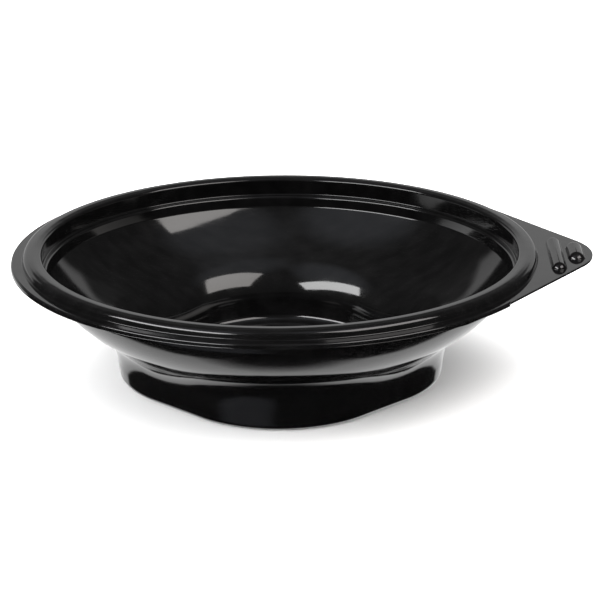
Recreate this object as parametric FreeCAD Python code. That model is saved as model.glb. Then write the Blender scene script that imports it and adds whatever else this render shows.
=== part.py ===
import FreeCAD, Part
import math
import os

from FreeCAD import Vector

# Shallow round bowl, thermoformed from one black sheet.  It is held here as
# the moulded regions of that sheet, which meet each other face to face.
# Frame: +Z up, the origin on the bowl's axis in the plane that it stands on,
# +X towards the grip tab.  All sizes are in millimetres.

# The sheet
SHEET = 0.7                 # thickness, the same all over
HEIGHT = 50.7               # from the table to the top of the rim bead

# Rim: a hollow bead, a flat flange outside it and a lid seat inside it
FLANGE_RADIUS = 100.0
FLANGE_TOP = 47.5
FLANGE_INNER_RADIUS = 97.0  # where the flange runs into the bead's foot
LIP_DROP = 1.7              # height of the flange's turned-down cut edge
BEAD_FOOT_RADIUS = 95.9
BEAD_OUTER_RADIUS = 95.1
BEAD_SHOULDER_DROP = 0.35   # how far the bead's edges lie below its crown
BEAD_OUTER_ROUND = 2.2
BEAD_INNER_ROUND = 1.1
BEAD_CROWN_ROUND = 9.0
BEAD_FOOT_ROUND = 0.5
SEAT_BORE_RADIUS = 88.6     # true cylinder that a lid's plug fits into
SEAT_BORE_BOTTOM = 44.6
SEAT_SHELF_HEIGHT = 43.8
SEAT_SHELF_INNER_RADIUS = 86.6
SEAT_ROUND = 0.6
SHELF_EDGE_ROUND = 1.1
STEP_BOTTOM_RADIUS = 86.0
STEP_BOTTOM_HEIGHT = 39.6
STEP_ROUND = 1.5
SEAT_SPLIT_HEIGHT = 41.6    # where the seat's step runs into the wall

# Flared wall, steeper at the top than at the bottom
WALL_TOP_SLOPE = 54.0       # degrees from horizontal
WALL_BOTTOM_SLOPE = 36.0
WALL_TURN_RADIUS = 79.8     # where the two slopes would meet
WALL_ROUND = 62.0
WALL_BOTTOM = 24.8          # height where the foot's shoulder takes over
WALL_END_RADIUS = 66.0      # the wall's section runs on to here before that cut
CONE_START = 4.0            # height inside the foot where the wall's cone starts

# Foot: a rounded square with its corners on the X and Y axes
FOOT_HALF_WIDTH = 55.1      # axis to the middle of a side, at the table
FOOT_CORNER_RADIUS = 42.6
FOOT_DRAFT = 7.1            # degrees
FOOT_TOP_ROUND = 22.0       # where the wall runs into the foot
FOOT_BOTTOM_ROUND = 3.5
FOOT_SKIRT_TOP = 8.0
BASE_HALF_WIDTH = 51.0

# Grip tab on the flange, with two moulded ribs across it
TAB_TIP = 116.6             # from the axis
TAB_TIP_ROUND = 26.0
RIB_HEIGHT = 2.4
INNER_RIB = {"x": 102.6, "y": -4.0, "length": 34.6, "round": 2.8}
OUTER_RIB = {"x": 110.0, "y": -0.8, "length": 17.6, "round": 3.3}

AXIS = Vector(0, 0, 1)
ORIGIN = Vector(0, 0, 0)
FAR = 400.0                 # larger than the bowl, for cutting blocks
RING_SPANS = 8              # equal spans that a revolved ring's faces are made in


def unit(start, end):
    """Direction from one (r, z) point to another."""
    length = math.hypot(end[0] - start[0], end[1] - start[1])
    return (end[0] - start[0]) / length, (end[1] - start[1]) / length


def meet(point_a, along_a, point_b, along_b):
    """Point where two lines cross."""
    cross = along_a[0] * along_b[1] - along_a[1] * along_b[0]
    gap = (point_b[0] - point_a[0], point_b[1] - point_a[1])
    distance = (gap[0] * along_b[1] - gap[1] * along_b[0]) / cross
    return point_a[0] + along_a[0] * distance, point_a[1] + along_a[1] * distance


def back_side(corners, thickness):
    """The same path on the sheet's other side, to the left of its travel."""
    points = [corner[:2] for corner in corners]
    runs = [unit(a, b) for a, b in zip(points, points[1:])]
    moved = [(p[0] - d[1] * thickness, p[1] + d[0] * thickness)
             for p, d in zip(points, runs)]
    result = [moved[0] + (0.0,)]
    for i in range(1, len(runs)):
        turn = runs[i - 1][0] * runs[i][1] - runs[i - 1][1] * runs[i][0]
        bend = corners[i][2] - math.copysign(thickness, turn)
        result.append(meet(moved[i - 1], runs[i - 1], moved[i], runs[i]) + (bend,))
    last = runs[-1]
    end = points[-1]
    result.append((end[0] - last[1] * thickness, end[1] + last[0] * thickness, 0.0))
    return result


def path_edges(corners):
    """Straight runs through (r, z, radius) corners, joined by tangent arcs."""
    edges = []
    here = corners[0][:2]
    for before, corner, after in zip(corners, corners[1:], corners[2:]):
        arriving = unit(before, corner)
        leaving = unit(corner, after)
        turn = math.acos(arriving[0] * leaving[0] + arriving[1] * leaving[1])
        reach = corner[2] * math.tan(turn / 2)
        start = (corner[0] - arriving[0] * reach, corner[1] - arriving[1] * reach)
        end = (corner[0] + leaving[0] * reach, corner[1] + leaving[1] * reach)
        inward = unit((0, 0), (leaving[0] - arriving[0], leaving[1] - arriving[1]))
        depth = corner[2] * (1 / math.cos(turn / 2) - 1)
        middle = (corner[0] + inward[0] * depth, corner[1] + inward[1] * depth)
        edges.append(Part.LineSegment(section(here), section(start)).toShape())
        arc = Part.Arc(section(start), section(middle), section(end))
        edges.append(arc.toShape())
        here = end
    edges.append(Part.LineSegment(section(here), section(corners[-1])).toShape())
    return edges


def section(point):
    """An (r, z) point as a point of the XZ plane."""
    return Vector(point[0], 0, point[1])


def revolved_sheet(corners):
    """A ring of sheet whose show side follows the corners, made span by span."""
    back = back_side(corners, SHEET)
    edges = path_edges(corners) + path_edges(back)
    for a, b in ((corners[0], back[0]), (corners[-1], back[-1])):
        edges.append(Part.LineSegment(section(a), section(b)).toShape())
    face = Part.Face(Part.Wire(Part.__sortEdges__(edges)))
    angle = 360 / RING_SPANS
    span = face.revolve(ORIGIN, AXIS, angle)
    others = [span.rotated(ORIGIN, AXIS, angle * k) for k in range(1, RING_SPANS)]
    return span.multiFuse(others)


def block(z_low, z_high):
    """A block that holds everything between two heights."""
    corner = Vector(-FAR / 2, -FAR / 2, z_low)
    return Part.makeBox(FAR, FAR, z_high - z_low, corner)


def ring(inner, outer, z_low, z_high):
    """A flat ring about the axis."""
    height = z_high - z_low
    base = Vector(0, 0, z_low)
    return Part.makeCylinder(outer, height, base).cut(Part.makeCylinder(inner, height, base))


def slope(degrees):
    """Direction of travel inwards and down at a slope from horizontal."""
    angle = math.radians(degrees)
    return -math.cos(angle), -math.sin(angle)


# Rim ---------------------------------------------------------------------

def rim_bead():
    """Hollow bead: outer wall, crowned top and the lid seat's bore."""
    middle = (BEAD_OUTER_RADIUS + SEAT_BORE_RADIUS) / 2
    tilt = math.atan2(BEAD_SHOULDER_DROP, middle - SEAT_BORE_RADIUS)
    crown_height = HEIGHT + BEAD_CROWN_ROUND * (1 / math.cos(tilt) - 1)
    edge_height = crown_height - BEAD_SHOULDER_DROP
    return revolved_sheet([
        (FLANGE_INNER_RADIUS, FLANGE_TOP, 0.0),
        (BEAD_FOOT_RADIUS, FLANGE_TOP, BEAD_FOOT_ROUND),
        (BEAD_OUTER_RADIUS, edge_height, BEAD_OUTER_ROUND),
        (middle, crown_height, BEAD_CROWN_ROUND),
        (SEAT_BORE_RADIUS, edge_height, BEAD_INNER_ROUND),
        (SEAT_BORE_RADIUS, SEAT_BORE_BOTTOM, 0.0)])


def step_point(height):
    """Point at a height on the short step between the shelf and the wall."""
    share = (height - STEP_BOTTOM_HEIGHT) / (SEAT_SHELF_HEIGHT - STEP_BOTTOM_HEIGHT)
    radius = STEP_BOTTOM_RADIUS + share * (SEAT_SHELF_INNER_RADIUS - STEP_BOTTOM_RADIUS)
    return radius, height, 0.0


def lid_seat():
    """Narrow shelf that a lid rests on, and the step below it."""
    return revolved_sheet([
        (SEAT_BORE_RADIUS, SEAT_BORE_BOTTOM, 0.0),
        (SEAT_BORE_RADIUS, SEAT_SHELF_HEIGHT, SEAT_ROUND),
        (SEAT_SHELF_INNER_RADIUS, SEAT_SHELF_HEIGHT, SHELF_EDGE_ROUND),
        step_point(SEAT_SPLIT_HEIGHT)])


def tab_lean():
    """Angle from +X of the normals to the tab's two straight edges."""
    return math.acos((FLANGE_RADIUS - TAB_TIP_ROUND) / (TAB_TIP - TAB_TIP_ROUND))


def tab_plate():
    """The tab and the flange's disc as one plate: two tangents and a round tip."""
    centre = TAB_TIP - TAB_TIP_ROUND
    points = []
    for side in (1, -1):
        normal = Vector(math.cos(tab_lean()), side * math.sin(tab_lean()), 0)
        points.append(normal * FLANGE_RADIUS)
        points.append(Vector(centre, 0, 0) + normal * TAB_TIP_ROUND)
    edges = [Part.LineSegment(points[0], points[1]).toShape(),
             Part.Arc(points[1], Vector(TAB_TIP, 0, 0), points[3]).toShape(),
             Part.LineSegment(points[3], points[2]).toShape(),
             Part.Arc(points[2], Vector(-FLANGE_RADIUS, 0, 0), points[0]).toShape()]
    plate = Part.Face(Part.Wire(edges)).extrude(Vector(0, 0, SHEET))
    plate.translate(Vector(0, 0, FLANGE_TOP - SHEET))
    return plate


def rim_flange():
    """Flat flange with its turned-down cut edge, which stops at the tab."""
    underside = FLANGE_TOP - SHEET
    flat = ring(FLANGE_INNER_RADIUS, FLANGE_RADIUS, underside, FLANGE_TOP)
    lip = ring(FLANGE_RADIUS - SHEET, FLANGE_RADIUS, FLANGE_TOP - LIP_DROP, underside)
    tab_side = Vector(FLANGE_RADIUS * math.cos(tab_lean()), -FAR / 2, 0)
    lip = lip.cut(Part.makeBox(FAR, FAR, FAR, tab_side))
    return flat.fuse(lip).removeSplitter()


def capsule(rib, radius):
    """A bar along Y with ball ends, which is a rib's outside or its hollow."""
    reach = rib["length"] / 2 - rib["round"]
    height = FLANGE_TOP + RIB_HEIGHT - rib["round"]
    start = Vector(rib["x"], rib["y"] - reach, height)
    end = Vector(rib["x"], rib["y"] + reach, height)
    bar = Part.makeCylinder(radius, 2 * reach, start, Vector(0, 1, 0))
    for centre in (start, end):
        bar = bar.fuse(Part.makeSphere(radius, centre))
    return bar.removeSplitter()


def tab_rib(rib):
    """One moulded rib: a thin dome that stands on the tab's top face."""
    dome = capsule(rib, rib["round"]).common(block(FLANGE_TOP, HEIGHT))
    return dome.cut(capsule(rib, rib["round"] - SHEET))


def rib_slot(rib):
    """The tab is open under a rib, as wide as the rib's hollow is there."""
    centre_depth = rib["round"] - RIB_HEIGHT
    half_width = math.sqrt((rib["round"] - SHEET) ** 2 - centre_depth ** 2)
    reach = rib["length"] / 2 - rib["round"]
    corner = Vector(rib["x"] - half_width, rib["y"] - reach, 0)
    slot = Part.makeBox(2 * half_width, 2 * reach, FAR, corner)
    for y in (rib["y"] - reach, rib["y"] + reach):
        slot = slot.fuse(Part.makeCylinder(half_width, FAR, Vector(rib["x"], y, 0)))
    return slot


def grip_tab():
    """The flat tab that a thumb and finger hold."""
    tab = tab_plate().cut(Part.makeCylinder(FLANGE_RADIUS, FAR, Vector(0, 0, -FAR / 2)))
    for rib in (INNER_RIB, OUTER_RIB):
        tab = tab.cut(rib_slot(rib))
    return tab


# Wall and foot -------------------------------------------------------------

def wall_corners():
    """Show side of the flared wall, from the step down past its end."""
    steep = slope(WALL_TOP_SLOPE)
    shallow = slope(WALL_BOTTOM_SLOPE)
    turn_height = (STEP_BOTTOM_HEIGHT
                   + (WALL_TURN_RADIUS - STEP_BOTTOM_RADIUS) * steep[1] / steep[0])
    end_height = turn_height + (WALL_END_RADIUS - WALL_TURN_RADIUS) * shallow[1] / shallow[0]
    return [step_point(SEAT_SPLIT_HEIGHT),
            (STEP_BOTTOM_RADIUS, STEP_BOTTOM_HEIGHT, STEP_ROUND),
            (WALL_TURN_RADIUS, turn_height, WALL_ROUND),
            (WALL_END_RADIUS, end_height, 0.0)]


def bowl_wall():
    """Round flared wall, cut level where the foot's shoulder starts."""
    sheet = revolved_sheet(wall_corners())
    return sheet.common(block(WALL_BOTTOM, HEIGHT))


def rounded_square(half_width, corner_radius, height):
    """Wire of a rounded square whose corners point along X and Y."""
    reach = (half_width - corner_radius) * math.sqrt(2)
    arcs = []
    for quarter in range(4):
        middle = math.radians(90 * quarter)
        centre = Vector(reach * math.cos(middle), reach * math.sin(middle), height)
        angles = [middle + math.radians(offset) for offset in (-45, 0, 45)]
        arcs.append([centre + Vector(math.cos(a), math.sin(a), 0) * corner_radius
                     for a in angles])
    edges = []
    for arc, following in zip(arcs, arcs[1:] + arcs[:1]):
        edges.append(Part.Arc(*arc).toShape())
        edges.append(Part.LineSegment(arc[2], following[0]).toShape())
    return Part.Wire(edges)


def foot_body(inset):
    """Solid inside the foot's drafted sides, moved in by the inset."""
    growth = math.tan(math.radians(FOOT_DRAFT))
    sideways = inset / math.cos(math.radians(FOOT_DRAFT))
    wires = []
    for height in (inset, WALL_BOTTOM):
        change = growth * height - sideways
        wires.append(rounded_square(FOOT_HALF_WIDTH + change,
                                    FOOT_CORNER_RADIUS + change, height))
    return Part.makeLoft(wires, True, True)


def wall_cone(inset):
    """Solid inside the wall's lower cone, from inside the foot to the wall."""
    angle = math.radians(WALL_BOTTOM_SLOPE)
    end_radius, end_height, _ = wall_corners()[-1]
    back = SHEET - inset
    radii = [end_radius + (height - end_height) / math.tan(angle) + back / math.sin(angle)
             for height in (CONE_START, WALL_BOTTOM)]
    return Part.makeCone(radii[0], radii[1], WALL_BOTTOM - CONE_START,
                         Vector(0, 0, CONE_START))


def lower_body(inset):
    """Everything within the sheet's outer surface, or its inner one, below the wall."""
    body = foot_body(inset).fuse(wall_cone(inset)).removeSplitter()
    rounds = {FOOT_BOTTOM_ROUND - inset: [], FOOT_TOP_ROUND + inset: []}
    bottom, top = rounds.values()
    for edge in body.Edges:
        box = edge.BoundBox
        if box.ZMax < inset + SHEET:
            bottom.append(edge)
        elif box.ZMin > CONE_START + SHEET and box.ZMax < WALL_BOTTOM - SHEET:
            top.append(edge)
    for radius, edges in rounds.items():
        body = fillet_near(body, radius, edges)
    return body


def fillet_near(body, radius, edges):
    """Round the body's edges that lie where the given edges lie."""
    centres = [edge.CenterOfMass for edge in edges]
    chosen = [edge for edge in body.Edges
              if any(edge.CenterOfMass.isEqual(centre, SHEET / 10) for centre in centres)]
    return body.makeFillet(radius, chosen)


def base_prism():
    """Upright block over the flat of the base."""
    corner_radius = FOOT_CORNER_RADIUS - (FOOT_HALF_WIDTH - BASE_HALF_WIDTH)
    face = Part.Face(rounded_square(BASE_HALF_WIDTH, corner_radius, 0))
    return face.extrude(Vector(0, 0, 2 * SHEET))


def foot_nodes():
    """The sheet below the wall: shoulder, skirt and base."""
    sheet = lower_body(0.0).cut(lower_body(SHEET))
    low = sheet.common(block(0, FOOT_SKIRT_TOP))
    return {
        "foot_shoulder": sheet.common(block(FOOT_SKIRT_TOP, WALL_BOTTOM)),
        "foot_skirt": low.cut(base_prism()),
        "base_panel": low.common(base_prism()),
    }


def check(name, shape):
    """Stop if a node isn't one valid solid, and return that solid."""
    if not shape.isValid() or len(shape.Solids) != 1:
        raise ValueError(name + " is not one valid solid")
    return shape.Solids[0]


os.makedirs("parts", exist_ok=True)
nodes = {
    "rim_flange": rim_flange(),
    "rim_bead": rim_bead(),
    "lid_seat": lid_seat(),
    "grip_tab": grip_tab(),
    "tab_rib_inner": tab_rib(INNER_RIB),
    "tab_rib_outer": tab_rib(OUTER_RIB),
    "bowl_wall": bowl_wall(),
}
nodes.update(foot_nodes())
for name, shape in nodes.items():
    solid = check(name, shape)
    solid.exportStep("parts/" + name + ".step")
    print(name, round(solid.Volume, 1), "mm3")
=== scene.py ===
import math

import bpy
import numpy as np
from mathutils import Euler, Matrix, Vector, noise
from mathutils.geometry import tessellate_polygon


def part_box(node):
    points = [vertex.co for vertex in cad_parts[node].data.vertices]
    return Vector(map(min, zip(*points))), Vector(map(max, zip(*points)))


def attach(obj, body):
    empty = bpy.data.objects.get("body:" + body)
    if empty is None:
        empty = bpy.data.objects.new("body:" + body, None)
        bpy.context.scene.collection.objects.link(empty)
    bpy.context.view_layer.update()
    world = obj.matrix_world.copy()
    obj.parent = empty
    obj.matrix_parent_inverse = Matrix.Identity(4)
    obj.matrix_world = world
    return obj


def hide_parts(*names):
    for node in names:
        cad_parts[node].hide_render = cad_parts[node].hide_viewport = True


# A shallow round bowl, thermoformed from one glossy black sheet.  Each
# visible piece is one moulded region of that sheet: a closed shell with the
# sheet's own thickness, whose normals run on into the next region's, so that
# the regions read as one skin.  Lengths are in metres, +Z is up and +X points
# at the grip tab.

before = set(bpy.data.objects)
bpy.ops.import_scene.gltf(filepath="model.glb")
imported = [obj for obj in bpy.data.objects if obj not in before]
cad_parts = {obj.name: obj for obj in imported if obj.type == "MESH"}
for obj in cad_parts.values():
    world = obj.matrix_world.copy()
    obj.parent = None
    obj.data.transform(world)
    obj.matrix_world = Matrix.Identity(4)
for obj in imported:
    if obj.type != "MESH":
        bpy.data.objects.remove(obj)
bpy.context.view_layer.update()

MM = 0.001
UP = np.array((0.0, 0.0, 1.0))
COLUMNS = 360               # steps round the bowl
TAB_COLUMN = 35             # the column on each side where the tab leaves the flange

# Sizes that the frame gives
FLANGE_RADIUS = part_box("rim_flange")[1].y
FLANGE_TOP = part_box("rim_flange")[1].z
LIP_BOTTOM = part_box("rim_flange")[0].z
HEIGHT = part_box("rim_bead")[1].z
SEAT_BORE_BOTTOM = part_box("rim_bead")[0].z
SEAT_SPLIT_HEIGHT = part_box("lid_seat")[0].z
WALL_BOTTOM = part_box("bowl_wall")[0].z
TAB_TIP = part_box("grip_tab")[1].x
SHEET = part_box("base_panel")[1].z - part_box("base_panel")[0].z

# Rim
FOLD_RADIUS = 0.8 * MM      # outside of the flange's turned-down edge
EDGE_STEPS = 6              # steps over a rolled edge
BURR_HEIGHT = 0.3 * MM      # the knife's burr, which leans out along the cut edge
BURR_REACH = 0.1 * MM
BURR_LEAN = 0.7             # how far the burr's face looks up, against 1 outward
CUT_WANDER = 0.09 * MM      # how far the cut edge strays from its line
CUT_WAVES = 900.0           # scale of the noise that it strays by
LIP_RUN_OUT = 14            # columns over which the lip runs out beside the tab
LEAST_LIP = FOLD_RADIUS + 1.5 * BURR_HEIGHT     # depth of the lip where it ends
FLANGE_INNER_RADIUS = 97.0 * MM
BEAD_FOOT_RADIUS = 95.9 * MM
BEAD_FOOT_ROUND = 0.5 * MM
BEAD_OUTER_RADIUS = 95.1 * MM
BEAD_SHOULDER_DROP = 0.35 * MM
BEAD_OUTER_ROUND = 2.2 * MM
BEAD_INNER_ROUND = 1.1 * MM
BEAD_CROWN_ROUND = 9.0 * MM
SEAT_BORE_RADIUS = 88.6 * MM
SEAT_SHELF_HEIGHT = 43.8 * MM
SEAT_SHELF_INNER_RADIUS = 86.6 * MM
SEAT_ROUND = 0.6 * MM
SHELF_EDGE_ROUND = 1.1 * MM

# Step and flared wall
STEP_BOTTOM = (86.0 * MM, 39.6 * MM)
STEP_ROUND = 1.5 * MM
WALL_TURN = (79.8 * MM, 31.066 * MM)
WALL_ROUND = 62.0 * MM
WALL_SLOPE = math.radians(36.0)

# Foot
FOOT_HALF_WIDTH = 55.1 * MM
FOOT_CORNER_RADIUS = 42.6 * MM
FOOT_DRAFT = math.radians(7.1)
FOOT_TOP_ROUND = 22.7 * MM
FOOT_BOTTOM_ROUND = 2.8 * MM
BASE_HALF_WIDTH = 51.0 * MM
BASE_CENTRE_RADIUS = 2.0 * MM

# Tab
TAB_TIP_ROUND = 26.0 * MM
TAB_EDGE_ROUND = 0.2 * MM
TAB_SIDE_STEPS = 12
TAB_TIP_STEPS = 36
RIB_FILLET = 0.4 * MM
RIB_MARGIN = 0.3 * MM       # flat sheet round a rib that is made with it
RIB_DOME_STEPS = 12
RIB_RIDGE = 0.6             # steps from the ridge to the dome's first row
RIB_FILLET_STEPS = 6
RIB_END_STEPS = 24
RIBS = {
    "inner": {"x": 102.6 * MM, "y": -4.0 * MM, "length": 34.6 * MM, "round": 2.8 * MM},
    "outer": {"x": 110.0 * MM, "y": -0.8 * MM, "length": 17.6 * MM, "round": 3.3 * MM},
}
RIB_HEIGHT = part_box("tab_rib_inner")[1].z - FLANGE_TOP


# Sections ------------------------------------------------------------------

def unit(vectors):
    """A vector, or each vector of an array, at length 1."""
    return vectors / np.linalg.norm(vectors, axis=-1, keepdims=True)


def column_angle(column):
    """Angle of a column from +X."""
    return 2 * math.pi * column / COLUMNS


def rounded_path(corners):
    """Points and travel directions along straight runs joined by arcs.

    A corner is (across, up, bend radius, steps of the run to it, steps of its arc).
    """
    spots = [np.array(corner[:2]) for corner in corners]
    points = [spots[0]]
    travel = [unit(spots[1] - spots[0])]
    for i in range(1, len(corners)):
        bend, run_steps, arc_steps = corners[i][2:]
        arriving = unit(spots[i] - spots[i - 1])
        start = points[-1]
        turn = reach = 0.0
        if bend:
            leaving = unit(spots[i + 1] - spots[i])
            cross = arriving[0] * leaving[1] - arriving[1] * leaving[0]
            turn = math.atan2(cross, float(arriving @ leaving))
            reach = bend * math.tan(abs(turn) / 2)
        end = spots[i] - arriving * reach
        for k in range(1, run_steps + 1):
            points.append(start + (end - start) * k / run_steps)
            travel.append(arriving)
        if bend:
            side = np.array((-arriving[1], arriving[0])) * math.copysign(bend, turn)
            centre = end + side
            for k in range(1, arc_steps + 1):
                angle = turn * k / arc_steps
                spin = np.array(((math.cos(angle), -math.sin(angle)),
                                 (math.sin(angle), math.cos(angle))))
                points.append(centre - spin @ side)
                travel.append(spin @ arriving)
    return np.array(points), np.array(travel)


def square_radius(angle, half_width, corner_radius):
    """Radius at an angle of a rounded square whose corners point along X and Y."""
    off_corner = abs((angle + math.pi / 4) % (math.pi / 2) - math.pi / 4)
    reach = (half_width - corner_radius) * math.sqrt(2)
    past_centre = math.sqrt(corner_radius ** 2 - (reach * math.sin(off_corner)) ** 2)
    on_arc = reach * math.cos(off_corner) + past_centre
    normal = math.atan2(on_arc * math.sin(off_corner),
                        on_arc * math.cos(off_corner) - reach)
    if normal <= math.pi / 4:
        return on_arc
    return half_width / math.cos(math.pi / 4 - off_corner)


def bead_edge_height():
    """Height where the bead's edges would be sharp, and that of its crown."""
    half_width = (BEAD_OUTER_RADIUS - SEAT_BORE_RADIUS) / 2
    tilt = math.atan2(BEAD_SHOULDER_DROP, half_width)
    crown = HEIGHT + BEAD_CROWN_ROUND * (1 / math.cos(tilt) - 1)
    return crown - BEAD_SHOULDER_DROP, crown


def step_radius(height):
    """Radius of the short step between the seat's shelf and the wall."""
    share = (height - STEP_BOTTOM[1]) / (SEAT_SHELF_HEIGHT - STEP_BOTTOM[1])
    return STEP_BOTTOM[0] + share * (SEAT_SHELF_INNER_RADIUS - STEP_BOTTOM[0])


def foot_side(angle):
    """Two points of the foot's inner side in the radial plane at an angle."""
    side = []
    for height in (SHEET, WALL_BOTTOM):
        change = math.tan(FOOT_DRAFT) * height - SHEET / math.cos(FOOT_DRAFT)
        side.append((square_radius(angle, FOOT_HALF_WIDTH + change,
                                   FOOT_CORNER_RADIUS + change), height))
    return side


def wall_meets_foot(angle):
    """Where the wall's cone and the foot's side would meet, in (radius, height)."""
    (low_r, low_z), (high_r, high_z) = foot_side(angle)
    lean = (high_r - low_r) / (high_z - low_z)
    fall = math.tan(WALL_SLOPE)
    height = ((WALL_TURN[1] + fall * (low_r - lean * low_z - WALL_TURN[0]))
              / (1 - fall * lean))
    return low_r + lean * (height - low_z), height


def wall_radius(height):
    """Radius of the wall's lower cone at a height."""
    return WALL_TURN[0] - (WALL_TURN[1] - height) / math.tan(WALL_SLOPE)


def bowl_corners(angle):
    """Show side of the whole sheet at an angle, from the flange to the base."""
    edge, crown = bead_edge_height()
    middle = (BEAD_OUTER_RADIUS + SEAT_BORE_RADIUS) / 2
    base_edge = square_radius(angle, BASE_HALF_WIDTH,
                              FOOT_CORNER_RADIUS - FOOT_HALF_WIDTH + BASE_HALF_WIDTH)
    return [
        (FLANGE_RADIUS - FOLD_RADIUS, FLANGE_TOP, 0, 0, 0),
        (FLANGE_INNER_RADIUS, FLANGE_TOP, 0, 3, 0),
        (BEAD_FOOT_RADIUS, FLANGE_TOP, BEAD_FOOT_ROUND, 2, 7),
        (BEAD_OUTER_RADIUS, edge, BEAD_OUTER_ROUND, 3, 12),
        (middle, crown, BEAD_CROWN_ROUND, 3, 8),
        (SEAT_BORE_RADIUS, edge, BEAD_INNER_ROUND, 3, 12),
        (SEAT_BORE_RADIUS, SEAT_BORE_BOTTOM, 0, 4, 0),
        (SEAT_BORE_RADIUS, SEAT_SHELF_HEIGHT, SEAT_ROUND, 1, 7),
        (SEAT_SHELF_INNER_RADIUS, SEAT_SHELF_HEIGHT, SHELF_EDGE_ROUND, 2, 9),
        (step_radius(SEAT_SPLIT_HEIGHT), SEAT_SPLIT_HEIGHT, 0, 2, 0),
        STEP_BOTTOM + (STEP_ROUND, 2, 7),
        WALL_TURN + (WALL_ROUND, 3, 12),
        (wall_radius(WALL_BOTTOM), WALL_BOTTOM, 0, 4, 0),
        wall_meets_foot(angle) + (FOOT_TOP_ROUND, 3, 18),
        foot_side(angle)[0] + (FOOT_BOTTOM_ROUND, 5, 9),
        (base_edge, SHEET, 0, 2, 0),
        (BASE_CENTRE_RADIUS, SHEET, 0, 12, 0),
    ]


REGIONS = (                 # piece, its node, the corners where it starts and ends
    ("flange_sheet", "rim_flange", 0, 1),
    ("bead_sheet", "rim_bead", 1, 6),
    ("seat_sheet", "lid_seat", 6, 9),
    ("wall_sheet", "bowl_wall", 9, 12),
    ("shoulder_sheet", "foot_shoulder", 12, 13),
    ("skirt_sheet", "foot_skirt", 13, 15),
    ("base_sheet", "base_panel", 15, 16),
)


def skin():
    """Points and normals of the show side, by row and column, and each corner's row."""
    angles = [column_angle(column) for column in range(COLUMNS)]
    paths = [rounded_path(bowl_corners(angle)) for angle in angles]
    rows = []
    row = 0
    for corner in bowl_corners(0.0):
        row += corner[3] + corner[4]
        rows.append(row)
    out = np.array([(math.cos(a), math.sin(a), 0.0) for a in angles])
    across = np.array([path[0] for path in paths]).transpose(1, 0, 2)
    travel = np.array([path[1] for path in paths]).transpose(1, 0, 2)
    points = across[..., :1] * out + across[..., 1:] * UP
    along = travel[..., :1] * out + travel[..., 1:] * UP
    around = np.roll(points, -1, 1) - np.roll(points, 1, 1)
    return points, unit(np.cross(around, along)), rows


# Shells --------------------------------------------------------------------

class Shell:
    """A closed piece of sheet, gathered face by face with its own normals."""

    def __init__(self, name):
        self.name = name
        self.points = []
        self.faces = []
        self.normals = []

    def add(self, points):
        """Adds points and returns the first one's number."""
        first = len(self.points)
        self.points += [tuple(point) for point in points]
        return first

    def face(self, corners, normals=None):
        """Adds a face, flat unless it is given a normal for each corner."""
        if normals is None:
            a, b, c = [np.array(self.points[corners[k]]) for k in (0, 1, 2)]
            flat = np.cross(b - a, c - b)
            size = np.linalg.norm(flat)
            flat = flat / size if size else UP
            normals = [flat] * len(corners)
        self.faces.append(tuple(corners))
        self.normals += [tuple(normal) for normal in normals]

    def sheet(self, points, normals, skip=None, outward=None):
        """Adds a strip of sheet, closed round the bowl, from its show side.

        Its thickness lies against the outward directions, or against the normals.
        """
        outward = normals if outward is None else outward
        rows, columns = points.shape[:2]
        top = self.add(points.reshape(-1, 3))
        bottom = self.add((points - outward * SHEET).reshape(-1, 3))

        def shown(row, column):
            """Whether the strip has a face at this row and column."""
            inside = 0 <= row < rows - 1
            return inside and not (skip and skip(row, column % columns))

        for row in range(rows - 1):
            for column in range(columns):
                if not shown(row, column):
                    continue
                a = row * columns + column
                b = row * columns + (column + 1) % columns
                c, d = b + columns, a + columns
                spots = [divmod(k, columns) for k in (a, b, c, d)]
                faced = [normals[spot] for spot in spots]
                self.face([top + k for k in (a, b, c, d)], faced)
                self.face([bottom + k for k in (d, c, b, a)], [-n for n in faced[::-1]])
                for p, q, gone in ((a, b, not shown(row - 1, column)),
                                   (c, d, not shown(row + 1, column)),
                                   (b, c, not shown(row, column + 1)),
                                   (d, a, not shown(row, column - 1))):
                    if gone:
                        self.face([top + q, top + p, bottom + p, bottom + q])

    def close(self, normals):
        """Closes the middle of a single strip with a flat, in place of its last wall."""
        columns = len(normals)
        half = len(self.points) // 2
        last = range(half - columns, half)
        faces = []
        kept_normals = []
        at = 0
        for face in self.faces:
            size = len(face)
            if not all(k in last or k - half in last for k in face):
                faces.append(face)
                kept_normals += self.normals[at:at + size]
            at += size
        self.faces = faces
        self.normals = kept_normals
        self.face(last, normals)
        self.face([half + k for k in reversed(last)], -normals[::-1])

    def make(self, node, material):
        """Makes the object, which stands for a node of the frame."""
        mesh = bpy.data.meshes.new(self.name)
        mesh.from_pydata(self.points, [], self.faces)
        mesh.polygons.foreach_set("use_smooth", [True] * len(mesh.polygons))
        mesh.normals_split_custom_set(self.normals)
        mesh.materials.append(material)
        piece = bpy.data.objects.new(self.name, mesh)
        bpy.context.scene.collection.objects.link(piece)
        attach(piece, "root")
        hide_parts(node)
        return piece


# Materials -----------------------------------------------------------------

def new_material(name):
    """A node material, its tree and its one shader."""
    material = bpy.data.materials.new(name)
    material.use_nodes = True
    tree = material.node_tree
    tree.nodes.clear()
    shader = tree.nodes.new("ShaderNodeBsdfPrincipled")
    output = tree.nodes.new("ShaderNodeOutputMaterial")
    tree.links.new(shader.outputs["BSDF"], output.inputs["Surface"])
    return material, tree, shader


def two_tone(tree, value, low, high):
    """A colour that runs from one (place, colour) to another as the value rises."""
    ramp = tree.nodes.new("ShaderNodeValToRGB")
    for element, (place, colour) in zip(ramp.color_ramp.elements, (low, high)):
        element.position = place
        element.color = colour
    tree.links.new(value, ramp.inputs["Fac"])
    return ramp.outputs["Color"]


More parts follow.
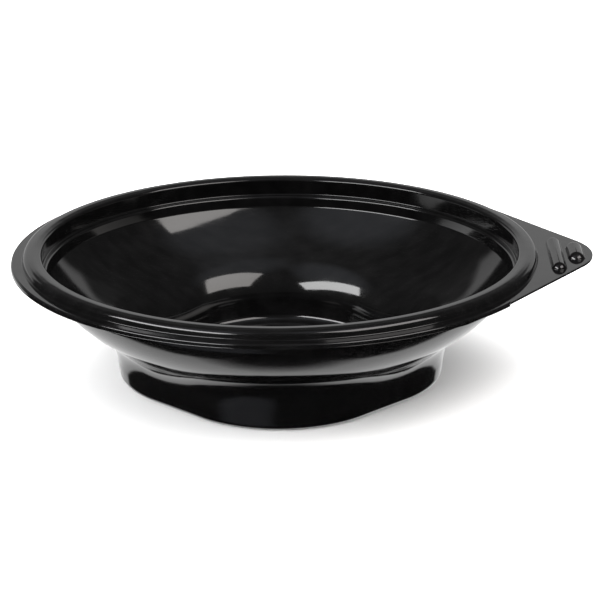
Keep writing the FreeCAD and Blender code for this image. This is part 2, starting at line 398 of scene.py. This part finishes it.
def noise_node(tree, scale, detail, stretch=None):
    """Noise in the object's own space, optionally stretched along an axis."""
    place = tree.nodes.new("ShaderNodeTexCoord")
    pattern = tree.nodes.new("ShaderNodeTexNoise")
    pattern.inputs["Scale"].default_value = scale
    pattern.inputs["Detail"].default_value = detail
    if stretch:
        mapping = tree.nodes.new("ShaderNodeMapping")
        mapping.inputs["Scale"].default_value = stretch
        tree.links.new(place.outputs["Object"], mapping.inputs["Vector"])
        tree.links.new(mapping.outputs["Vector"], pattern.inputs["Vector"])
    else:
        tree.links.new(place.outputs["Object"], pattern.inputs["Vector"])
    return pattern.outputs["Fac"]


def spread(tree, value, low, high, to_low, to_high, curve="LINEAR"):
    """The value taken from one range to another, and held within it."""
    node = tree.nodes.new("ShaderNodeMapRange")
    node.interpolation_type = curve
    for name, number in (("From Min", low), ("From Max", high),
                         ("To Min", to_low), ("To Max", to_high)):
        node.inputs[name].default_value = number
    tree.links.new(value, node.inputs["Value"])
    return node.outputs["Result"]


def bump(tree, height, distance, strength, below=None):
    """A bump of a height over another bump."""
    node = tree.nodes.new("ShaderNodeBump")
    node.inputs["Distance"].default_value = distance
    node.inputs["Strength"].default_value = strength
    tree.links.new(height, node.inputs["Height"])
    if below:
        tree.links.new(below, node.inputs["Normal"])
    return node.outputs["Normal"]


def plastic(name, greys, roughness, scuffs):
    """Black thermoformed sheet: mirror gloss, a faint haze, draw waves, fine scuffs and rubs.

    The greys and the roughness are those of clean sheet and of rubbed sheet.
    """
    material, tree, shader = new_material(name)
    shader.inputs["IOR"].default_value = 1.52
    shader.inputs["Coat Weight"].default_value = 0.04
    shader.inputs["Coat Roughness"].default_value = 0.38
    waves = noise_node(tree, 55.0, 2.0)
    grain = noise_node(tree, 900.0, 3.0)
    rubs = noise_node(tree, 130.0, 6.0, (1.0, 2.2, 1.0))
    clean, rubbed = [(grey, grey * 0.97, grey, 1) for grey in greys]
    colour = two_tone(tree, rubs, (0.35, clean), (0.8, rubbed))
    tree.links.new(colour, shader.inputs["Base Color"])
    tree.links.new(spread(tree, rubs, 0.4, 0.75, *roughness), shader.inputs["Roughness"])
    surface = bump(tree, waves, 0.4 * MM, 0.2)
    surface = bump(tree, grain, 0.02 * MM, scuffs, surface)
    tree.links.new(surface, shader.inputs["Normal"])
    return material


def floor_white():
    """Matt white paper, very slightly uneven."""
    material, tree, shader = new_material("floor_paper")
    shader.inputs["Roughness"].default_value = 0.9
    shader.inputs["Specular IOR Level"].default_value = 0.1
    colour = two_tone(tree, noise_node(tree, 3.0, 2.0),
                      (0.0, (0.86, 0.86, 0.86, 1)), (1.0, (0.9, 0.9, 0.9, 1)))
    tree.links.new(colour, shader.inputs["Base Color"])
    return material


# Pieces --------------------------------------------------------------------

def in_tab(column):
    """Whether the step from this column to the next lies on the tab's side."""
    return column < TAB_COLUMN or column >= COLUMNS - TAB_COLUMN


def wander(point):
    """How far the cut edge strays from its line at a point."""
    return abs(noise.noise(Vector(point) * CUT_WAVES)) * CUT_WANDER


def lip_share(column):
    """How much of its full depth the lip has at a column, as it runs out at the tab."""
    beyond = min(column, COLUMNS - column) - TAB_COLUMN
    return min(max(beyond / LIP_RUN_OUT, 0.0), 1.0)


def rolled_edge(outline, outward, radius):
    """Rows of points and normals over a rolled edge, from its side to the flat top."""
    rows = []
    normals = []
    for k in range(EDGE_STEPS, -1, -1):
        angle = math.pi / 2 * k / EDGE_STEPS
        normal = outward * math.sin(angle) + UP * math.cos(angle)
        rows.append(outline - (outward + UP) * radius + normal * radius)
        normals.append(normal)
    return rows, normals


def folded_edge(outline, outward):
    """The flange's turned-down lip, from its burred cut edge to the flat top."""
    rows, normals = rolled_edge(outline, outward, FOLD_RADIUS)
    above = rows[0].copy()
    cut = outline + outward * BURR_REACH
    for column, point in enumerate(outline):
        depth = (FLANGE_TOP - LIP_BOTTOM - wander(point)) * lip_share(column)
        cut[column, 2] = FLANGE_TOP - max(depth, LEAST_LIP)
    above[:, 2] = cut[:, 2] + BURR_HEIGHT
    burr = unit(outward + UP * BURR_LEAN)
    return np.array([cut, above] + rows), np.array([burr, outward] + normals)


def flange(points, normals, last_row, material):
    """Flat flange with its turned-down edge, which the tab takes over."""
    angles = column_angle(np.arange(COLUMNS))
    outward = np.stack([np.cos(angles), np.sin(angles), np.zeros(COLUMNS)], 1)
    outline = outward * FLANGE_RADIUS
    outline[:, 2] = FLANGE_TOP
    edge, edge_normals = folded_edge(outline, outward)
    points = np.concatenate([edge[:-1], points[:last_row + 1]])
    normals = np.concatenate([edge_normals[:-1], normals[:last_row + 1]])
    folded = len(edge) - 1
    through = normals.copy()
    through[0] = outward    # the burr's lean doesn't tilt the lip's own thickness
    shell = Shell("flange_sheet")
    shell.sheet(points, normals, lambda row, column: row < folded and in_tab(column), through)
    return shell.make("rim_flange", material)


def tab_outline():
    """Points and outward normals round the tab, from the -Y side to the +Y side."""
    start = column_angle(TAB_COLUMN)
    centre = np.array((TAB_TIP - TAB_TIP_ROUND, 0.0, 0.0))
    lean = math.acos((FLANGE_RADIUS - TAB_TIP_ROUND) / centre[0])
    points = []
    normals = []
    for side in (-1, 1):
        normal = np.array((math.cos(lean), side * math.sin(lean), 0.0))
        rim = FLANGE_RADIUS * np.array((math.cos(start), side * math.sin(start), 0.0))
        tip = centre + normal * TAB_TIP_ROUND
        points.append([rim + (tip - rim) * k / TAB_SIDE_STEPS for k in range(TAB_SIDE_STEPS)])
        normals.append([normal] * TAB_SIDE_STEPS)
    arc = [2 * lean * (k / TAB_TIP_STEPS - 0.5) for k in range(TAB_TIP_STEPS + 1)]
    arc_normals = [np.array((math.cos(a), math.sin(a), 0.0)) for a in arc]
    arc_points = [centre + n * TAB_TIP_ROUND for n in arc_normals]
    outline = np.array(points[0] + arc_points + points[1][::-1])
    outline[:, 2] = FLANGE_TOP
    return outline, np.array(normals[0] + arc_normals + normals[1][::-1])


def rib_profile(rib):
    """(across, up, lean) over a rib, from its ridge to the flat round it.

    The lean is the normal's angle from upright.
    """
    bend = rib["round"]
    centre = FLANGE_TOP + RIB_HEIGHT - bend
    rise = FLANGE_TOP + RIB_FILLET - centre
    foot = math.sqrt((bend + RIB_FILLET) ** 2 - rise ** 2)
    steepest = math.atan2(foot, rise)
    profile = []
    for k in range(RIB_DOME_STEPS + 1):
        lean = steepest * (k + RIB_RIDGE) / (RIB_DOME_STEPS + RIB_RIDGE)
        profile.append((bend * math.sin(lean), centre + bend * math.cos(lean), lean))
    for k in range(1, RIB_FILLET_STEPS + 1):
        lean = steepest * (1 - k / RIB_FILLET_STEPS)
        profile.append((foot - RIB_FILLET * math.sin(lean),
                        FLANGE_TOP + RIB_FILLET * (1 - math.cos(lean)), lean))
    profile.append((foot + RIB_MARGIN, FLANGE_TOP, 0.0))
    return profile


def rib_ring(rib):
    """Points of a rib's centre line and the way out from each, once round the rib."""
    reach = rib["length"] / 2 - rib["round"]
    ring = []
    for end in (1, -1):
        for k in range(RIB_END_STEPS + 1):
            angle = math.pi * k / RIB_END_STEPS + (0 if end > 0 else math.pi)
            way = np.array((math.cos(angle), math.sin(angle), 0.0))
            ring.append((np.array((rib["x"], rib["y"] + end * reach, 0.0)), way))
    return ring


def rib_piece(label, material):
    """A moulded rib: a domed hollow stretch of the tab's own sheet."""
    rib = RIBS[label]
    ring = rib_ring(rib)
    rows = []
    normals = []
    for across, height, lean in rib_profile(rib)[::-1]:
        rows.append([c + way * across + UP * height for c, way in ring])
        normals.append([way * math.sin(lean) + UP * math.cos(lean) for c, way in ring])
    rows = np.array(rows)
    normals = np.array(normals)
    shell = Shell("rib_sheet_" + label)
    shell.sheet(rows, normals)
    shell.close(normals[-1])
    return shell.make("tab_rib_" + label, material)


def tab(material):
    """The grip tab: flat sheet with a cut edge and openings for its ribs."""
    outline, outward = tab_outline()
    edge, edge_normals = rolled_edge(outline, outward, TAB_EDGE_ROUND)
    inner = FLANGE_RADIUS - FOLD_RADIUS
    angles = [column_angle(TAB_COLUMN - k) for k in range(1, 2 * TAB_COLUMN)]
    arc = [(inner * math.cos(a), inner * math.sin(a), FLANGE_TOP) for a in angles]
    loops = [list(edge[-1]) + arc]
    for rib in RIBS.values():
        across = rib_profile(rib)[-1][0]
        loops.append([c + way * across + UP * FLANGE_TOP for c, way in rib_ring(rib)])
    triangles = tessellate_polygon([[Vector(p) for p in loop] for loop in loops])
    flat = [tuple(p) for loop in loops for p in loop]
    shell = Shell("tab_sheet")
    top = shell.add(flat)
    under = [tuple(p) for p in outline] + flat[len(outline):]
    bottom = shell.add([(x, y, FLANGE_TOP - SHEET) for x, y, _ in under])
    for a, b, c in triangles:
        pa, pb, pc = (Vector(flat[k]) for k in (a, b, c))
        if (pb - pa).cross(pc - pb).z < 0:
            b, c = c, b
        shell.face([top + a, top + b, top + c], [UP] * 3)
        shell.face([bottom + c, bottom + b, bottom + a], [-UP] * 3)
    first = 0
    for number, loop in enumerate(loops):
        for k in range(len(loop)):
            on_edge = number == 0 and k < len(edge[-1]) - 1
            if not on_edge:
                p, q = first + k, first + (k + 1) % len(loop)
                if number:
                    p, q = q, p
                shell.face([top + p, bottom + p, bottom + q, top + q])
        first += len(loop)
    tab_edge(shell, edge, edge_normals, outward, top, bottom)
    return shell.make("grip_tab", material)


def tab_edge(shell, edge, normals, outward, top, bottom):
    """Adds the cut edge between the tab's underside and its flat top."""
    columns = len(outward)
    rows = [bottom] + [shell.add(row) for row in edge[:-1]] + [top]
    faced = [outward] + list(normals)
    for low in range(len(rows) - 1):
        for column in range(columns - 1):
            spots = [(low, column), (low, column + 1), (low + 1, column + 1), (low + 1, column)]
            shell.face([rows[row] + k for row, k in spots],
                       [faced[row][k] for row, k in spots])
    for column, turn in ((0, 1), (columns - 1, -1)):
        shell.face([row + column for row in rows][::turn])


def bowl(material, base_material):
    """Every region of the sheet, then the tab and its ribs."""
    points, normals, rows = skin()
    for name, node, start, end in REGIONS:
        first, last = rows[start], rows[end]
        if node == "rim_flange":
            flange(points, normals, last, material)
            continue
        shell = Shell(name)
        shell.sheet(points[first:last + 1], normals[first:last + 1])
        if node == "base_panel":
            shell.close(np.tile(UP, (COLUMNS, 1)))
            shell.make(node, base_material)
        else:
            shell.make(node, material)
    tab(material)
    for label in RIBS:
        rib_piece(label, material)


# Studio --------------------------------------------------------------------

CAMERA_ELEVATION = math.radians(18.9)
CAMERA_AZIMUTH = math.radians(-0.1)
CAMERA_ROLL = math.radians(-0.3)
CAMERA_DISTANCE = 1.1
CAMERA_SENSOR = 0.036
CAMERA_FIELD = 0.2235       # width of the view at the point that it aims at
AIM_RIGHT = 7.5 * MM        # from the middle of the rim's top
AIM_DOWN = 20.1 * MM

# Brightness of the room at heights from straight down to straight up, as (sine, grey)
ROOM = ((-1.0, 0.01), (-0.1, 0.04), (0.1, 0.06), (0.8, 0.06), (1.0, 0.12))
# The same where the white backdrop hangs behind the bowl and runs on under it
BACKDROP = ((-1.0, 0.01), (-0.965, 0.03), (-0.9, 1.0), (-0.3, 1.0), (0.0, 0.5), (0.33, 0.58),
            (0.38, 0.09), (0.8, 0.07), (1.0, 0.12))
BACKDROP_AZIMUTH = -3       # degrees, from +Y towards +X
BACKDROP_REACH = (44, 37)   # degrees from its middle where it starts and where it is full
# Stray light round the softboxes and on the table: azimuth, elevation, the angles where
# it starts and where it is full, and radiance
GLOWS = ((126, 64, 30, 0, 0.26), (-126, 50, 32, 0, 0.36), (-142, -42, 30, 12, 0.2))
GLOW_TINT = (0.93, 0.97, 1.08)
SOFTBOX_DISTANCE = 1.2
# Azimuth, elevation, size, tilt, radiance and colour of each
SOFTBOXES = {
    "softbox_left": (-129, 35.5, (1.16, 0.33), -9, 10.3, (1.0, 1.0, 1.0)),
    "softbox_right": (127, 46.5, (0.84, 0.57), 0, 4.8, (1.0, 0.965, 0.94)),
}
FILL_DISTANCE = 2.0
FILL_SIZE = (7.0, 7.0)
FILL_RADIANCE = 3.0
FLOOR_EDGES = (-4.0, -1.0, 1.0, 4.0)


def add_camera():
    """Camera at the front, a little above the rim."""
    data = bpy.data.cameras.new("camera")
    data.sensor_width = CAMERA_SENSOR / MM
    data.lens = CAMERA_SENSOR / MM * CAMERA_DISTANCE / CAMERA_FIELD
    camera = bpy.data.objects.new("camera", data)
    bpy.context.scene.collection.objects.link(camera)
    turn = Euler((math.pi / 2 - CAMERA_ELEVATION, 0.0, CAMERA_AZIMUTH)).to_matrix()
    turn = turn @ Euler((0.0, 0.0, CAMERA_ROLL)).to_matrix()
    right, up, back = turn.col
    aim = Vector((0.0, 0.0, HEIGHT)) + right * AIM_RIGHT - up * AIM_DOWN
    camera.matrix_world = turn.to_4x4()
    camera.location = aim + back * CAMERA_DISTANCE
    bpy.context.scene.camera = camera


def direction(azimuth, elevation):
    """Unit vector at an azimuth from +Y towards +X and an elevation, in degrees."""
    a, e = math.radians(azimuth), math.radians(elevation)
    return Vector((math.sin(a) * math.cos(e), math.cos(a) * math.cos(e), math.sin(e)))


def softbox(name, distance, azimuth, elevation, size, tilt, radiance, colour):
    """A rectangular light that faces the bowl, tilted about its own axis in degrees."""
    data = bpy.data.lights.new(name, "AREA")
    data.shape = "RECTANGLE"
    data.size, data.size_y = size
    data.energy = radiance * math.pi * size[0] * size[1]
    data.color = colour
    light = bpy.data.objects.new(name, data)
    bpy.context.scene.collection.objects.link(light)
    place = direction(azimuth, elevation)
    light.location = place * distance
    turn = (-place).to_track_quat("-Z", "Y").to_matrix()
    turn = turn @ Euler((0.0, 0.0, math.radians(tilt))).to_matrix()
    light.rotation_euler = turn.to_euler()
    return light


def stepped(tree, value, steps):
    """A ramp over heights from straight down to straight up, as (sine, grey) steps."""
    place = spread(tree, value, -1.0, 1.0, 0.0, 1.0)
    ramp = tree.nodes.new("ShaderNodeValToRGB")
    elements = ramp.color_ramp.elements
    while len(elements) < len(steps):
        elements.new(0.5)
    for element, (sine, grey) in zip(elements, steps):
        element.position = (sine + 1) / 2
        element.color = (grey, grey, grey, 1)
    tree.links.new(place, ramp.inputs["Fac"])
    return ramp.outputs["Color"]


def facing(tree, way, target, wide, narrow):
    """How nearly a direction points at the target, 0 beyond a wide angle, 1 within a narrow one."""
    dot = tree.nodes.new("ShaderNodeVectorMath")
    dot.operation = "DOT_PRODUCT"
    dot.inputs[1].default_value = target
    tree.links.new(way, dot.inputs[0])
    return spread(tree, dot.outputs["Value"], math.cos(math.radians(wide)),
                  math.cos(math.radians(narrow)), 0.0, 1.0, "SMOOTHERSTEP")


def add_world():
    """A dark studio with a white backdrop behind and under the bowl, and stray light."""
    world = bpy.data.worlds.new("studio")
    world.use_nodes = True
    tree = world.node_tree
    tree.nodes.clear()
    way = tree.nodes.new("ShaderNodeTexCoord").outputs["Generated"]
    split = tree.nodes.new("ShaderNodeSeparateXYZ")
    tree.links.new(way, split.inputs["Vector"])
    level = tree.nodes.new("ShaderNodeCombineXYZ")
    tree.links.new(split.outputs["X"], level.inputs["X"])
    tree.links.new(split.outputs["Y"], level.inputs["Y"])
    round_about = tree.nodes.new("ShaderNodeVectorMath")
    round_about.operation = "NORMALIZE"
    tree.links.new(level.outputs["Vector"], round_about.inputs[0])
    behind = facing(tree, round_about.outputs["Vector"], direction(BACKDROP_AZIMUTH, 0),
                    *BACKDROP_REACH)
    mix = tree.nodes.new("ShaderNodeMix")
    mix.data_type = "RGBA"
    tree.links.new(behind, mix.inputs["Factor"])
    tree.links.new(stepped(tree, split.outputs["Z"], ROOM), mix.inputs["A"])
    tree.links.new(stepped(tree, split.outputs["Z"], BACKDROP), mix.inputs["B"])
    light = mix.outputs["Result"]
    for azimuth, elevation, wide, narrow, radiance in GLOWS:
        glow = tree.nodes.new("ShaderNodeMix")
        glow.data_type = "RGBA"
        glow.blend_type = "ADD"
        glow.inputs["B"].default_value = tuple(radiance * tint for tint in GLOW_TINT) + (1,)
        tree.links.new(facing(tree, way, direction(azimuth, elevation), wide, narrow),
                       glow.inputs["Factor"])
        tree.links.new(light, glow.inputs["A"])
        light = glow.outputs["Result"]
    sky = tree.nodes.new("ShaderNodeBackground")
    tree.links.new(light, sky.inputs["Color"])
    output = tree.nodes.new("ShaderNodeOutputWorld")
    tree.links.new(sky.outputs["Background"], output.inputs["Surface"])
    bpy.context.scene.world = world


def add_floor():
    """A wide white floor that the bowl stands on, and that the bowl doesn't mirror."""
    mesh = bpy.data.meshes.new("floor")
    points = [(x, y, 0.0) for y in FLOOR_EDGES for x in FLOOR_EDGES]
    wide = len(FLOOR_EDGES)
    corners = [row * wide + column for row in range(wide - 1) for column in range(wide - 1)]
    faces = [(k, k + 1, k + wide + 1, k + wide) for k in corners]
    mesh.from_pydata(points, [], faces)
    mesh.materials.append(floor_white())
    floor = bpy.data.objects.new("floor", mesh)
    bpy.context.scene.collection.objects.link(floor)
    floor.visible_glossy = False


def studio():
    """Floor, lights, backdrop and camera."""
    add_floor()
    add_world()
    add_camera()
    for name, setting in SOFTBOXES.items():
        softbox(name, SOFTBOX_DISTANCE, *setting)
    fill = softbox("overhead_fill", FILL_DISTANCE, 0, 90, FILL_SIZE, 0, FILL_RADIANCE,
                   (1.0, 1.0, 1.0))
    fill.visible_glossy = False
    view = bpy.context.scene.view_settings
    view.view_transform = "Standard"
    view.look = "None"


sheet_black = plastic("glossy_black_sheet", (0.0012, 0.003), (0.07, 0.11), 0.12)
base_black = plastic("scuffed_black_base", (0.0015, 0.006), (0.09, 0.2), 0.3)
bowl(sheet_black, base_black)
studio()
